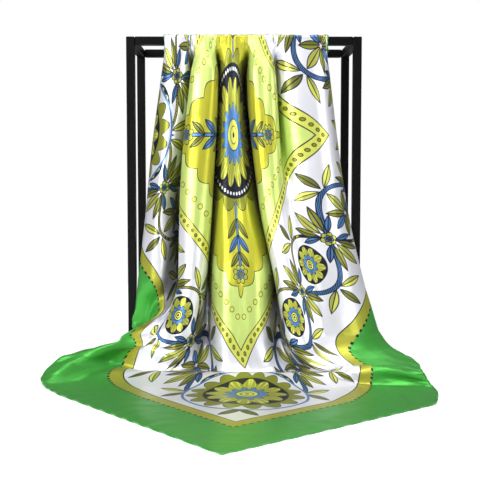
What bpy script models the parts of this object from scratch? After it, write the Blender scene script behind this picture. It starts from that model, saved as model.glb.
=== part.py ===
"""A square satin scarf hung corner down over an open box stand.

The cloth is one square sheet. A point of it is named by its flat place, in millimetres from
the middle of the square: ``s`` runs along the diagonal that lies across the stand, and ``t``
along the one that runs from the corner on the floor (-) over both rails to the rear corner (+).
``drape`` gives the place of a flat point on the draped cloth, in the stand's frame: x to the
right from the stand's middle, y backwards from the front face of its posts, z up from the floor.
"""
import math

import bmesh
import bpy
import numpy as np
from mathutils import Vector

MM = 0.001

# ---- driving dimensions, mm ------------------------------------------------------------------
SCARF_SIDE = 900.0
WALL = 1.0                      # thickness of the cloth solid
STAND_WIDTH = 276.0
STAND_HEIGHT = 389.0
STAND_DEPTH = 139.0
TUBE = 10.0                     # side of the square tube
TUBE_EDGE = 0.8                 # rounding of the tube's edges
JOINT_GAP = 0.3                 # between two tubes of the stand
STEEPEST = 0.3                  # least share of a face's slope by which the wall is set back
HEM_PROBE = 6.0                 # flat distance over which the hem's slope is read
SEAM_GAP = 0.4                  # between two stretches of the cloth, flat
REST_GAP = 0.6                  # between a tube and the cloth that lies on it

HALF = SCARF_SIDE / math.sqrt(2)            # from the middle of the square to a corner
LIFT = WALL + REST_GAP                      # from a tube's face to the cloth's outer face
WRAP = 4.0                                  # flat length of the bend over a tube's edge
TOP_SLACK = 3.4                             # flat length to spare between the two bends

# flat distances t at which the cloth changes what it does
T_FOOT = -269.0                 # the hanging front reaches the folds at the floor
T_FRONT = 114.0                 # it meets the front rail's edge
T_TOP = T_FRONT + WRAP          # it lies on the front rail
T_REAR = T_TOP + STAND_DEPTH - 2 * (WRAP - LIFT) + TOP_SLACK    # it reaches the back rail's far edge
T_BACK = T_REAR + WRAP          # it starts to hang behind
Z_FOOT = 45.0
Z_RAIL = STAND_HEIGHT - 1.0
Z_TOP = STAND_HEIGHT + LIFT
WRAP_RADIUS = Z_TOP - Z_RAIL
RAIL_RUN = 10.5                 # flat length that lies on a rail
RAIL_DROP = 13.4                # flat length in front of a rail's face

# ---- the hanging front -----------------------------------------------------------------------
# Across the cloth: one row for each crest, hollow or fold line. ``s`` is its flat place, x_* its
# place across the stand and out_* how far it stands before the posts' face, at the named levels.
LEVEL = dict(bar=Z_RAIL, rail=376.0, top=345.0, mid=197.0, low=105.0, knee=72.0, foot=Z_FOOT)
FOLD_AT_RAIL = 0.2              # share of a fold's depth that is left just under the rail
FOLD_COLUMNS = ("name", "s", "x_bar", "x_top", "x_mid", "x_low", "x_knee", "x_foot",
                "out_top", "out_mid", "out_low", "out_knee", "out_foot")
FOLDS = (
    ("corner_l", -HALF, -100, -92, -76, -92, -92, -92, -72, -50, -70, -60, -60),
    ("inner_l", -575, -99, -94, -84, -97, -97, -97, -69, -66, -70, -60, -60),
    ("middle_l", -525, -97, -96, -97, -102, -102, -102, -62, -84, -60, -54, -54),
    ("outer_l", -475, -95, -97, -112, -114, -114, -114, -50, -64, -48, -40, -40),
    ("return_l", -440, -93, -99, -116, -119, -120, -121, -30, -34, -26, -20, -20),
    ("edge_l", -400, -90, -94, -112, -124, -127, -130, 1, 2, 8, 5, 4),
    ("face_l", -365, -79, -80, -97, -107, -114, -118, 5, 13, 20, 10, 9),
    ("tuck_l", -335, -68, -66, -85, -95, -106, -116, -2, -4, 16, 12, 16),
    ("wing", -305, -65, -62, -80, -90, -96, -138, -36, -38, -14, 26, 47),
    ("pocket", -265, -62, -57, -72, -78, -89, -121, -72, -74, -50, 10, 42),
    ("inner_1", -225, -59, -54, -66, -69, -83, -107, -34, -38, -24, 15, 35),
    ("p1_left", -190, -56, -62, -75, -77, -84, -92, 8, 18, 28, 34, 38),
    ("p1_crest", -163, -46, -46, -57, -61, -68, -74, 15, 29, 40, 43, 46),
    ("p1_right", -135, -36, -31, -38, -46, -52, -58, 8, 18, 28, 34, 40),
    ("tuck_1", -92, -31.5, -36, -45, -44, -44, -44, -68, -62, -42, -20, 2),
    ("c_left", -48, -26, -27, -31, -34, -33, -32, -4, 4, 32, 40, 46),
    ("centre", 0, -13, -13, -10, -4, -4, -4, 5, 12, 46, 51, 55),
    ("c_right", 48, -1, -4, 9, 26, 25, 24, -4, 4, 34, 42, 48),
    ("tuck_2", 95, 4, 3, 22, 42, 41, 40, -70, -64, -40, -18, 12),
    ("p2_left", 145, 10, 6, 18, 36, 42.5, 48, 8, 20, 42, 49, 54),
    ("p2_crest", 180, 21, 21, 33, 52, 59, 64, 15, 31, 53, 58, 62),
    ("p2_right", 215, 32, 37, 46, 67, 73, 79, 8, 25, 49, 54, 58),
    ("tuck_3", 240, 38, 34, 55, 79, 86, 92, -28, 18, 43, 49, 54),
    ("face_r1", 265, 46, 45, 69, 92, 100, 106, 5, 21, 44, 49, 53),
    ("face_r2", 300, 64, 70, 93, 113, 122, 130, 10, 24, 42, 45, 48),
    ("face_r3", 335, 79, 88, 110, 130, 140, 148, 8, 17, 32, 34, 36),
    ("edge_r", 370, 89, 97, 120, 140, 150, 158, 1, 5, 17, 19, 20),
    ("return_r", 410, 92, 103, 116, 122, 131, 150, -28, -34, 3, 5, 8),
    ("outer_r", 450, 95, 102, 112, 106, 108, 120, -48, -64, -44, -40, -40),
    ("middle_r", 500, 98, 101, 98, 100, 100, 100, -62, -84, -34, -34, -34),
    ("inner_r", 560, 101, 98, 86, 98, 98, 98, -69, -66, -80, -80, -80),
    ("corner_r", HALF, 103, 96, 78, 94, 94, 94, -72, -48, -90, -90, -90),
)

# ---- the corner on the floor -----------------------------------------------------------------
# Where the cloth turns onto the floor it runs through the same ten flat distances everywhere:
# ``out`` and height ``z`` at four flat places across, and how far it is gathered sideways.
TURN_T = (-440.0, -410.0, -385.0, -366.0, -350.0, -336.0, -320.0, -303.0, -287.0, T_FOOT)
TURN_PROFILES = (
    dict(s=-305.0,
         out=(145, 128, 108, 92, 79, 64, 50, 40, 34, 31),
         z=(1, 2, 5, 12, 17, 16, 17, 28, 35, 44)),
    dict(s=-230.0,
         out=(153, 128, 108, 92, 79, 64, 50, 40, 34, 31),
         z=(1, 1, 2, 6.4, 10.4, 8, 10.4, 25, 33, 44)),
    dict(s=0.0,
         out=(179, 149, 128, 109, 94, 80, 66, 57, 53, 51),
         z=(1, 1, 4, 9.4, 11.8, 6.4, 1.4, 8.4, 24, 45)),
    dict(s=250.0,
         out=(206, 152, 124, 112, 110, 98, 80, 62, 48, 38),
         z=(1, 1, 1.6, 6.4, 14.4, 15.9, 17.4, 20.4, 27, 40)),
)
GATHER_LEFT = (0.99, 0.95, 0.91, 0.885, 0.85, 0.79, 0.70, 0.62, 0.56, 0.52)
GATHER_RIGHT = (0.975, 0.885, 0.79, 0.71, 0.645, 0.60, 0.55, 0.47, 0.43, 0.40)
TIP_X = -22.0                   # the corner that lies towards the viewer
TIP_OUT = 374.0
FLOOR_TURN = math.radians(6.3)  # its diagonal's turn about the vertical
RISE_END = -350.0               # how far in front of T_FOOT the hanging folds die out

# ---- the run over the rails and the fall behind ----------------------------------------------
BACK_GATHER = 0.25              # width behind for each mm of flat cloth
BUNCH_FROM = 376.0              # flat place beyond which the cloth is bunched closer
BUNCH_GATHER = 0.06
BACK_FAN = 0.30                 # how much wider the fall is at the floor than at the rail
PLEAT_PITCH = 104.0             # flat length of one pleat
PLEAT_DEPTH = 24.0
PLEAT_SET_BACK = 2.0            # how far the pleats' middle moves in under the rail
PLEAT_UNEVEN = 0.55             # how far the pleats wander from an even pitch, radians
PLEAT_WANDER = 0.37             # waves of that wandering for each pleat
PLEAT_SHIFT = 0.8               # where that wandering starts, radians
PLEAT_ROUND = 3.5               # how far the cloth moves sideways to round a pleat's crest
PLEAT_START = LEVEL["rail"]
PLEAT_FULL = 46.0               # drop over which the pleats open
TROUGH_DEPTH = 36.0             # of the cloth's troughs between the two rails
TAUT_FROM = 290.0               # flat places between which the troughs flatten to the hems
TAUT_TO = 380.0
TAUT_SHARE = 0.85
TOP_EVEN = 0.4                  # share of the top over which the gathers even out

# ---- how finely the cloth is cut into faces --------------------------------------------------
# stretches of the half diagonal: start, end, number of steps
STEPS = (
    (0.0, 120.0, 6),
    (120.0, HALF - T_BACK, 17),
    (HALF - T_BACK, HALF - T_REAR, 2),
    (HALF - T_REAR, HALF - T_REAR + RAIL_RUN, 2),
    (HALF - T_REAR + RAIL_RUN, HALF - T_TOP - RAIL_RUN, 4),
    (HALF - T_TOP - RAIL_RUN, HALF - T_TOP, 2),
    (HALF - T_TOP, HALF - T_FRONT, 2),
    (HALF - T_FRONT, HALF - T_FRONT + RAIL_DROP, 1),
    (HALF - T_FRONT + RAIL_DROP, HALF, 4),
)

CLOTH_COLOUR = (0.72, 0.80, 0.42, 1.0)
STAND_COLOUR = (0.018, 0.018, 0.020, 1.0)


def column(name):
    """One column of the fold table as an array."""
    place = FOLD_COLUMNS.index(name)
    return np.array([row[place] for row in FOLDS], float)


def slopes_round(knots, values):
    """Slopes that make a round curve through the values."""
    run = np.diff(knots)
    rise = np.diff(values, axis=-1) / run
    slope = np.empty_like(values)
    slope[..., 0] = rise[..., 0]
    slope[..., -1] = rise[..., -1]
    weighted = rise[..., :-1] * run[1:] + rise[..., 1:] * run[:-1]
    slope[..., 1:-1] = weighted / (run[1:] + run[:-1])
    return slope


def slopes_steady(knots, values):
    """Slopes that never let the curve pass beyond its values."""
    run = np.diff(knots)
    rise = np.diff(values, axis=-1) / run
    slope = np.zeros_like(values)
    slope[..., 0] = rise[..., 0]
    slope[..., -1] = rise[..., -1]
    before, after = rise[..., :-1], rise[..., 1:]
    same_way = before * after > 0
    total = np.where(same_way, before + after, 1.0)
    slope[..., 1:-1] = np.where(same_way, 2 * before * after / total, 0.0)
    return slope


def curve(knots, values, at, slopes=slopes_round):
    """Read a smooth curve: values has one row for each reading, or a single row for all."""
    knots = np.asarray(knots, float)
    values = np.atleast_2d(np.asarray(values, float))
    at = np.asarray(at, float)
    slope = slopes(knots, values)
    span = np.clip(np.searchsorted(knots, at) - 1, 0, len(knots) - 2)
    run = knots[span + 1] - knots[span]
    u = np.clip((at - knots[span]) / run, 0, 1)
    row = np.arange(len(at)) if len(values) > 1 else np.zeros(len(at), int)
    start, end = values[row, span], values[row, span + 1]
    leave, arrive = slope[row, span] * run, slope[row, span + 1] * run
    v = 1 - u
    return (start * v * v * (1 + 2 * u) + end * u * u * (1 + 2 * v)
            + leave * u * v * v - arrive * u * u * v)


def smooth(value):
    """Ease from 0 to 1."""
    value = np.clip(value, 0, 1)
    return value * value * (3 - 2 * value)


def hanging(s, z):
    """x and out of the hanging front at flat place s and height z."""
    open_levels = ("foot", "knee", "low", "mid", "top")
    heights = [LEVEL[name] for name in open_levels + ("rail", "bar")]
    across = np.stack([column("x_" + name) for name in open_levels + ("bar", "bar")], 1)
    before = np.stack([column("out_" + name) for name in open_levels]
                      + [LIFT + FOLD_AT_RAIL * np.maximum(column("out_top"), 0),
                         np.full(len(FOLDS), LIFT)], 1)
    places = column("s")
    count = len(z)
    x_at = np.empty((count, len(FOLDS)))
    out_at = np.empty((count, len(FOLDS)))
    for fold in range(len(FOLDS)):
        x_at[:, fold] = curve(heights, across[fold], z, slopes_steady)
        out_at[:, fold] = curve(heights, before[fold], z, slopes_steady)
    return curve(places, x_at, s), curve(places, out_at, s)


def turning(s, t):
    """x, out and z where the cloth turns onto the floor and lies on it."""
    along = t + HALF
    gather = np.where(s < 0, curve(TURN_T, GATHER_LEFT, t), curve(TURN_T, GATHER_RIGHT, t))
    lying = t < TURN_T[0]
    fade = np.clip(along / (TURN_T[0] + HALF), 0, 1)
    gather = np.where(lying, 1 - (1 - gather) * fade, gather)
    sine, cosine = math.sin(FLOOR_TURN), math.cos(FLOOR_TURN)
    x = TIP_X + sine * along + s * cosine * gather
    flat_out = TIP_OUT - cosine * along + sine * s
    places = [profile["s"] for profile in TURN_PROFILES]
    out_at = []
    z_at = []
    for profile in TURN_PROFILES:
        start = TIP_OUT - cosine * (TURN_T[0] + HALF) + sine * profile["s"]
        outs = (start,) + profile["out"][1:]
        out_at.append(curve(TURN_T, outs, t) - sine * profile["s"])
        z_at.append(curve(TURN_T, profile["z"], t))
    inside = np.clip(s, places[0], places[-1])
    out = curve(places, np.stack(out_at, 1), inside) + sine * s
    z = curve(places, np.stack(z_at, 1), inside, slopes_steady)
    return x, np.where(lying, flat_out, out), np.where(lying, WALL, z)


def front(s, t):
    """The cloth before the stand: the hanging folds run out into the corner on the floor."""
    height = Z_FOOT + (Z_RAIL - Z_FOOT) * (t - T_FOOT) / (T_FRONT - T_FOOT)
    hang_x, hang_out = hanging(s, np.maximum(height, Z_FOOT))
    foot_x, foot_out = hanging(s, np.full_like(s, Z_FOOT))
    turn_x, turn_out, turn_z = turning(s, np.minimum(t, T_FOOT))
    join_x, join_out, join_z = turning(s, np.full_like(s, T_FOOT))
    fade = 1 - smooth((T_FOOT - t) / (T_FOOT - RISE_END))
    floor = t < T_FOOT
    x = np.where(floor, turn_x + (foot_x - join_x) * fade, hang_x)
    out = np.where(floor, turn_out + (foot_out - join_out) * fade, hang_out)
    z = np.where(floor, turn_z + (Z_FOOT - join_z) * fade, height)
    return x, -out, np.maximum(z, WALL)


def pleat_turn(s):
    """How far round its pleat a flat place is, at an uneven pitch, radians."""
    turn = 2 * math.pi * s / PLEAT_PITCH
    return turn + PLEAT_UNEVEN * np.sin(turn * PLEAT_WANDER + PLEAT_SHIFT)


def gathered(s):
    """Place across the back rail; the cloth's outer parts are bunched close together."""
    inside = np.clip(s, -BUNCH_FROM, BUNCH_FROM)
    return BACK_GATHER * inside + BUNCH_GATHER * (s - inside)


def over_the_top(s, t):
    """The cloth on the two rails, with troughs between them."""
    share = np.clip((t - T_TOP) / (T_REAR - T_TOP), 0, 1)
    y = (WRAP_RADIUS - LIFT) + share * (STAND_DEPTH - 2 * (WRAP_RADIUS - LIFT))
    x_front = curve(column("s"), column("x_bar"), s)
    x = x_front + (gathered(s) - x_front) * smooth(share / TOP_EVEN)
    hung = TUBE + LIFT
    between = np.clip((y - hung) / (STAND_DEPTH - 2 * hung), 0, 1)
    sag = np.sin(math.pi * between) ** 2
    taut = smooth((np.abs(s) - TAUT_FROM) / (TAUT_TO - TAUT_FROM))
    z = Z_TOP - TROUGH_DEPTH * sag * (0.5 - 0.5 * np.cos(pleat_turn(s))) * (1 - TAUT_SHARE * taut)
    return x, y, z


def behind(s, t):
    """The cloth that hangs behind the stand in upright pleats, down to the rear corner."""
    drop = np.maximum(t - T_BACK, 0)
    z = Z_RAIL - drop
    opened = smooth((PLEAT_START - z) / PLEAT_FULL)
    turn = pleat_turn(s)
    x = gathered(s) * (1 + BACK_FAN * drop / STAND_HEIGHT) + opened * PLEAT_ROUND * np.sin(2 * turn)
    y = STAND_DEPTH + LIFT + opened * (PLEAT_DEPTH * np.cos(turn) - PLEAT_SET_BACK)
    return x, y, z


def bend(s, t, start, front_edge):
    """The quarter turn over a rail's edge."""
    angle = np.clip((t - start) / WRAP, 0, 1) * math.pi / 2
    middle = WRAP_RADIUS - LIFT
    if front_edge:
        x = curve(column("s"), column("x_bar"), s)
        return x, middle - WRAP_RADIUS * np.cos(angle), Z_RAIL + WRAP_RADIUS * np.sin(angle)
    y = STAND_DEPTH - middle + WRAP_RADIUS * np.sin(angle)
    return gathered(s), y, Z_RAIL + WRAP_RADIUS * np.cos(angle)


def drape(s, t):
    """Places x, y, z of the draped cloth at the flat places s, t."""
    s = np.asarray(s, float)
    t = np.asarray(t, float)
    stretches = (
        (t <= T_FRONT, front(s, np.minimum(t, T_FRONT))),
        ((t > T_FRONT) & (t < T_TOP), bend(s, t, T_FRONT, True)),
        ((t >= T_TOP) & (t <= T_REAR), over_the_top(s, t)),
        ((t > T_REAR) & (t < T_BACK), bend(s, t, T_REAR, False)),
        (t >= T_BACK, behind(s, t)),
    )
    place = np.zeros((len(s), 3))
    for chosen, xyz in stretches:
        place[chosen] = np.stack(xyz, 1)[chosen]
    return place


def half_diagonal_steps():
    """The flat distances from the middle at which the cloth is cut into faces."""
    steps = [0.0]
    for start, end, count in STEPS:
        steps += [start + (end - start) * step / count for step in range(1, count + 1)]
    return steps


def make_material(name, colour, roughness, metallic):
    """A plain finish."""
    material = bpy.data.materials.new(name)
    material.use_nodes = True
    shader = material.node_tree.nodes["Principled BSDF"]
    shader.inputs["Base Color"].default_value = colour
    shader.inputs["Roughness"].default_value = roughness
    shader.inputs["Metallic"].default_value = metallic
    material.diffuse_color = colour
    return material


def diagonal(points, around, start):
    """Length of one diagonal of a four-sided face."""
    return (points[around[start]].co - points[around[start + 2]].co).length


def hem_facing(s, t):
    """The way the cloth's outer face looks at its hem, from places a little to each side."""
    around = drape([s - HEM_PROBE, s + HEM_PROBE, s, s], [t, t, t - HEM_PROBE, t + HEM_PROBE])
    left, right, below, above = (Vector(point) for point in around)
    return (right - left).cross(above - below).normalized()


def make_stretch(name, first, last, steps, collection, origin):
    """One stretch of the cloth between two rows, a closed wall behind its outer face.

    Rows and columns share one set of steps, so that the square's hems run through the corners
    of its faces. The stretch stops a little short of its neighbours.
    """
    count = len(steps) - 1
    mesh = bmesh.new()
    outer, inner, flat = {}, {}, {}
    for row in range(first, last + 1):
        reach = count - abs(row)
        t = math.copysign(HALF - steps[reach], row)
        if row == first and first > -count:
            t += SEAM_GAP / 2
        if row == last and last < count:
            t -= SEAM_GAP / 2
        places = range(-reach, reach + 1)
        s = np.array([math.copysign(steps[abs(place)], place) for place in places])
        for place, point in zip(places, drape(s, np.full(len(s), t))):
            outer[place, row] = mesh.verts.new(point * MM)
            flat[place, row] = (s[place + reach], t)
    corners = []
    for row in range(first, last):
        for place in range(-count, count):
            around = ((place, row), (place + 1, row), (place + 1, row + 1), (place, row + 1))
            around = [key for key in around if key in outer]
            if len(around) == 4 and diagonal(outer, around, 0) > diagonal(outer, around, 1):
                around = around[1:] + around[:1]
            corners += [keys for keys in (around[:3], around[2:] + around[:1]) if len(keys) == 3]
    for keys in corners:
        mesh.faces.new([outer[key] for key in keys])
    mesh.normal_update()
    for key, vertex in outer.items():
        facing = vertex.normal
        if abs(key[0]) + abs(key[1]) == count:
            facing = hem_facing(*flat[key])
        facings = [abs(face.normal.dot(facing)) for face in vertex.link_faces]
        steepness = max(sum(facings) / len(facings), STEEPEST)
        back = vertex.co - facing * WALL * MM / steepness
        inner[key] = mesh.verts.new((back.x, back.y, max(back.z, 0.0)))
    for keys in corners:
        mesh.faces.new([inner[key] for key in reversed(keys)])
    key_of = {vertex: key for key, vertex in outer.items()}
    for edge in [edge for edge in mesh.edges if edge.is_boundary and edge.verts[0] in key_of]:
        start, end = edge.link_loops[0].vert, edge.link_loops[0].link_loop_next.vert
        mesh.faces.new((end, start, inner[key_of[start]], inner[key_of[end]]))
    data = bpy.data.meshes.new(name)
    mesh.to_mesh(data)
    mesh.free()
    sheet = bpy.data.objects.new(name, data)
    collection.objects.link(sheet)
    data.materials.append(make_material("satin_" + name, CLOTH_COLOUR, 0.35, 0.0))
    data.shade_smooth()
    sheet.parent = origin


def make_tube(name, low, high, collection, origin):
    """One straight tube of the stand between two corners of its box, mm."""
    low, high = np.array(low), np.array(high)
    mesh = bmesh.new()
    bmesh.ops.create_cube(mesh, size=1.0)
    bmesh.ops.scale(mesh, vec=tuple((high - low) * MM), verts=mesh.verts)
    data = bpy.data.meshes.new(name)
    mesh.to_mesh(data)
    mesh.free()
    tube = bpy.data.objects.new(name, data)
    tube.location = (high + low) / 2 * MM
    collection.objects.link(tube)
    edges = tube.modifiers.new("edges", "BEVEL")
    edges.width = TUBE_EDGE * MM
    edges.segments = 1
    data.materials.append(make_material("satin_black_" + name, STAND_COLOUR, 0.35, 0.4))
    tube.parent = origin
    return tube


def make_stand(collection, origin):
    """Four posts, two rails across and two rails from front to back."""
    side = STAND_WIDTH / 2
    under = STAND_HEIGHT - TUBE
    for place, y in (("front", 0.0), ("back", STAND_DEPTH - TUBE)):
        for hand, x in (("left", -side), ("right", side - TUBE)):
            make_tube(f"stand_{place}_post_{hand}", (x, y, 0.0),
                      (x + TUBE, y + TUBE, STAND_HEIGHT), collection, origin)
        make_tube(f"stand_{place}_rail", (TUBE + JOINT_GAP - side, y, under),
                  (side - TUBE - JOINT_GAP, y + TUBE, STAND_HEIGHT), collection, origin)
    for hand, x in (("left", -side), ("right", side - TUBE)):
        make_tube(f"stand_side_rail_{hand}", (x, TUBE + JOINT_GAP, under),
                  (x + TUBE, STAND_DEPTH - TUBE - JOINT_GAP, STAND_HEIGHT), collection, origin)


def make_scarf(collection, origin):
    """The cloth's three stretches, from the corner on the floor to the rear corner."""
    steps = half_diagonal_steps()
    count = len(steps) - 1

    def row_at(t):
        wanted = HALF - abs(t)
        nearest = min(range(count + 1), key=lambda step: abs(steps[step] - wanted))
        return int(math.copysign(count - nearest, t))

    cuts = [-count, row_at(T_TOP + RAIL_RUN / 2), row_at(T_REAR - RAIL_RUN / 2), count]
    names = ("scarf_front", "scarf_top", "scarf_back")
    for name, first, last in zip(names, cuts[:-1], cuts[1:]):
        make_stretch(name, first, last, steps, collection, origin)


def centre_on_floor(collection, origin):
    """Put the middle of the whole model's box over the frame's origin."""
    bpy.context.view_layer.update()
    found = bpy.context.evaluated_depsgraph_get()
    points = []
    for piece in collection.objects:
        if piece.type == "MESH":
            shown = piece.evaluated_get(found)
            points += [shown.matrix_world @ vertex.co for vertex in shown.data.vertices]
    points = np.array(points)
    middle = (points.min(0) + points.max(0)) / 2
    origin.location = (-middle[0], -middle[1], -points.min(0)[2])


def main():
    """Model the scarf and its stand."""
    for old in list(bpy.data.objects):
        bpy.data.objects.remove(old)
    collection = bpy.data.collections.new("scarf_on_stand")
    bpy.context.scene.collection.children.link(collection)
    origin = bpy.data.objects.new("stand_place", None)
    collection.objects.link(origin)
    make_stand(collection, origin)
    make_scarf(collection, origin)
    centre_on_floor(collection, origin)


main()
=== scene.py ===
"""The looks of a printed square satin scarf, hung corner down over an open box stand.

The cloth is one sheet. A point of it is named by its flat place, in millimetres from the middle
of the square: ``s`` runs along the diagonal that lies across the stand, and ``t`` along the one
that runs from the corner on the floor (-) over both rails to the rear corner (+). ``drape``
gives the place of a flat point on the draped cloth, in the stand's frame: x to the right from
the stand's middle, y backwards from the front face of its posts, z up from the floor. The print
is drawn on the flat square, along its sides ``a`` and ``b``.
"""
import math

import bpy
import numpy as np
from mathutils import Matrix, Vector


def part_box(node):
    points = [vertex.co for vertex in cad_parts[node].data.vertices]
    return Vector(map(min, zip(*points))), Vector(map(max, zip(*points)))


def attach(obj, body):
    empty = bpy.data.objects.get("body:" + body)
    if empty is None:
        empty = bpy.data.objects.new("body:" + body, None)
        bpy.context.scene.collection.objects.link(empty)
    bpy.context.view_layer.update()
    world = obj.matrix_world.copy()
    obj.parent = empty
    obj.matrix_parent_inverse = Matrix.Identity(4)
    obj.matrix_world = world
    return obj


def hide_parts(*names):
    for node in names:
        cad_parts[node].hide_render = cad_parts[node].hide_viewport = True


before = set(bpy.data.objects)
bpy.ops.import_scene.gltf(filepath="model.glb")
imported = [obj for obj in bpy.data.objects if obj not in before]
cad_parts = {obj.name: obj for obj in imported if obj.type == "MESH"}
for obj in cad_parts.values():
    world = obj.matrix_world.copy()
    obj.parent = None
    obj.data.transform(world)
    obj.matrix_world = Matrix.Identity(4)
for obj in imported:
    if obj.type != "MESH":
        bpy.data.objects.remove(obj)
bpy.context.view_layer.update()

bl_info = {
    "name": "Draped satin scarf",
    "version": (1, 0, 0),
    "blender": (4, 5, 0),
    "location": "3D View > Sidebar > Scarf",
    "description": "A printed satin square hung corner down over an open box stand",
    "category": "Add Mesh",
}

MM = 0.001

# ---- the stand, from the frame ----
POSTS = ("stand_front_post_left", "stand_front_post_right",
         "stand_back_post_left", "stand_back_post_right")
RAILS_ACROSS = ("stand_front_rail", "stand_back_rail")
RAILS_ALONG = ("stand_side_rail_left", "stand_side_rail_right")
CLOTH_SOLIDS = ("scarf_front", "scarf_top", "scarf_back")
FIRST_POST = [Vector(corner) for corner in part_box("stand_front_post_left")]
LAST_POST = [Vector(corner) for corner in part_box("stand_back_post_right")]
STAND_DEPTH = (LAST_POST[1].y - FIRST_POST[0].y) / MM
STAND_HEIGHT = FIRST_POST[1].z / MM
TUBE = (FIRST_POST[1].x - FIRST_POST[0].x) / MM
STAND_PLACE = Vector(((FIRST_POST[0].x + LAST_POST[1].x) / 2, FIRST_POST[0].y, 0.0))

# ---- the cloth, mm ----
SCARF_SIDE = 900.0
CAD_WALL = 1.0  # the solid's cloth, whose outer face this cloth shares
REST_GAP = 0.6  # between a tube and the solid that lies on it
HALF = SCARF_SIDE / math.sqrt(2)  # from the middle of the square to a corner
LIFT = CAD_WALL + REST_GAP  # from a tube's face to the cloth's outer face
WRAP = 4.0  # flat length of the bend over a tube's edge
TOP_SLACK = 3.4  # flat length to spare between the two bends

# flat distances t at which the cloth changes what it does
T_FOOT = -269.0  # the hanging front reaches the folds at the floor
T_FRONT = 114.0  # it meets the front rail's edge
T_TOP = T_FRONT + WRAP  # it lies on the front rail
# it reaches the back rail's far edge
T_REAR = T_TOP + STAND_DEPTH - 2 * (WRAP - LIFT) + TOP_SLACK
T_BACK = T_REAR + WRAP  # it starts to hang behind
Z_FOOT = 45.0
Z_RAIL = STAND_HEIGHT - 1.0
# the front hangs straight at the rail and leans more the lower it is: flat distances, heights
HANG_T = (T_FOOT, -120.0, 0.0, T_FRONT)
HANG_Z = (Z_FOOT, 170.0, 274.0, Z_RAIL)
Z_TOP = STAND_HEIGHT + LIFT
WRAP_RADIUS = Z_TOP - Z_RAIL

# ---- the hanging front ----
# Across the cloth: one row for each crest, hollow or fold line. ``s`` is its flat place, x_* its
# place across the stand and out_* how far it stands before the posts' face, at the named levels.
LEVEL = dict(bar=Z_RAIL, rail=376.0, top=345.0, mid=197.0, low=105.0, knee=72.0, foot=Z_FOOT)
FOLD_AT_RAIL = 0.2  # share of a fold's depth that is left just under the rail
FOLD_COLUMNS = ("name", "s", "x_bar", "x_top", "x_mid", "x_low", "x_knee", "x_foot",
                "out_top", "out_mid", "out_low", "out_knee", "out_foot")
FOLDS = (
    ("corner_l", -HALF, -94, -92, -76, -92, -92, -92, -72, -50, -70, -60, -60),
    ("inner_l", -572, -93.5, -94, -84, -97, -97, -97, -69, -66, -70, -60, -60),
    ("middle_l", -514, -93, -96, -97, -102, -102, -102, -62, -84, -60, -54, -54),
    ("outer_l", -458, -92.4, -97, -112, -114, -114, -114, -50, -64, -48, -40, -40),
    ("return_l", -416, -91.7, -98, -116, -117, -117, -119, -30, -34, -20, -8, 2),
    ("edge_l", -374, -90.6, -94, -112, -124, -128, -134, 1, 2, 8, 8, 9),
    ("face_l", -350, -79, -80, -97, -107, -114, -118, 5, 13, 20, 10, 9),
    ("tuck_l", -328, -68, -66, -85, -95, -106, -116, -2, -4, 16, 12, 16),
    ("wing", -305, -65, -62, -80, -90, -96, -138, -36, -38, -14, 26, 47),
    ("pocket", -265, -62, -57, -72, -78, -89, -121, -72, -74, -50, 10, 42),
    ("inner_1", -225, -59, -54, -66, -69, -83, -107, -34, -38, -24, 15, 35),
    ("p1_left", -190, -56, -62, -75, -77, -84, -92, 8, 18, 28, 34, 38),
    ("p1_crest", -163, -46, -46, -57, -61, -68, -74, 15, 29, 40, 43, 46),
    ("p1_right", -135, -36, -31, -38, -46, -52, -58, 8, 18, 28, 34, 40),
    ("tuck_1", -92, -31.5, -36, -45, -44, -44, -44, -68, -62, -42, -20, 2),
    ("c_left", -48, -26, -27, -31, -34, -33, -32, -4, 4, 32, 40, 46),
    ("centre", 0, -13, -13, -10, -4, -4, -4, 5, 12, 46, 51, 55),
    ("c_right", 48, -1, -4, 9, 26, 25, 24, -4, 4, 34, 42, 48),
    ("tuck_2", 95, 4, 3, 22, 42, 41, 40, -70, -64, -40, -18, 12),
    ("p2_left", 145, 10, 6, 18, 36, 42.5, 48, 8, 20, 42, 49, 54),
    ("p2_crest", 180, 21, 21, 33, 52, 59, 64, 15, 31, 53, 58, 62),
    ("p2_right", 215, 32, 37, 46, 67, 73, 79, 8, 25, 49, 54, 58),
    ("tuck_3", 240, 38, 34, 55, 79, 86, 92, -28, 18, 43, 49, 54),
    ("face_r1", 261, 46, 45, 69, 92, 100, 106, 5, 21, 44, 49, 53),
    ("face_r2", 281, 64, 70, 93, 113, 122, 130, 10, 24, 42, 45, 48),
    ("face_r3", 302, 83, 88, 110, 130, 140, 148, 8, 17, 32, 34, 36),
    ("edge_r", 323, 94.5, 98, 120, 140, 150, 158, 1, 5, 17, 19, 20),
    ("return_r", 362, 96, 103, 116, 118, 120, 122, -28, -34, 2, 6, 8),
    ("outer_r", 410, 96.8, 102, 112, 106, 108, 120, -48, -64, -44, -40, -40),
    ("middle_r", 472, 97.5, 101, 98, 100, 100, 100, -62, -84, -34, -34, -34),
    ("inner_r", 548, 98.1, 98, 86, 98, 98, 98, -69, -66, -80, -80, -80),
    ("corner_r", HALF, 98.6, 96, 78, 94, 94, 94, -72, -48, -90, -90, -90),
)

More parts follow.
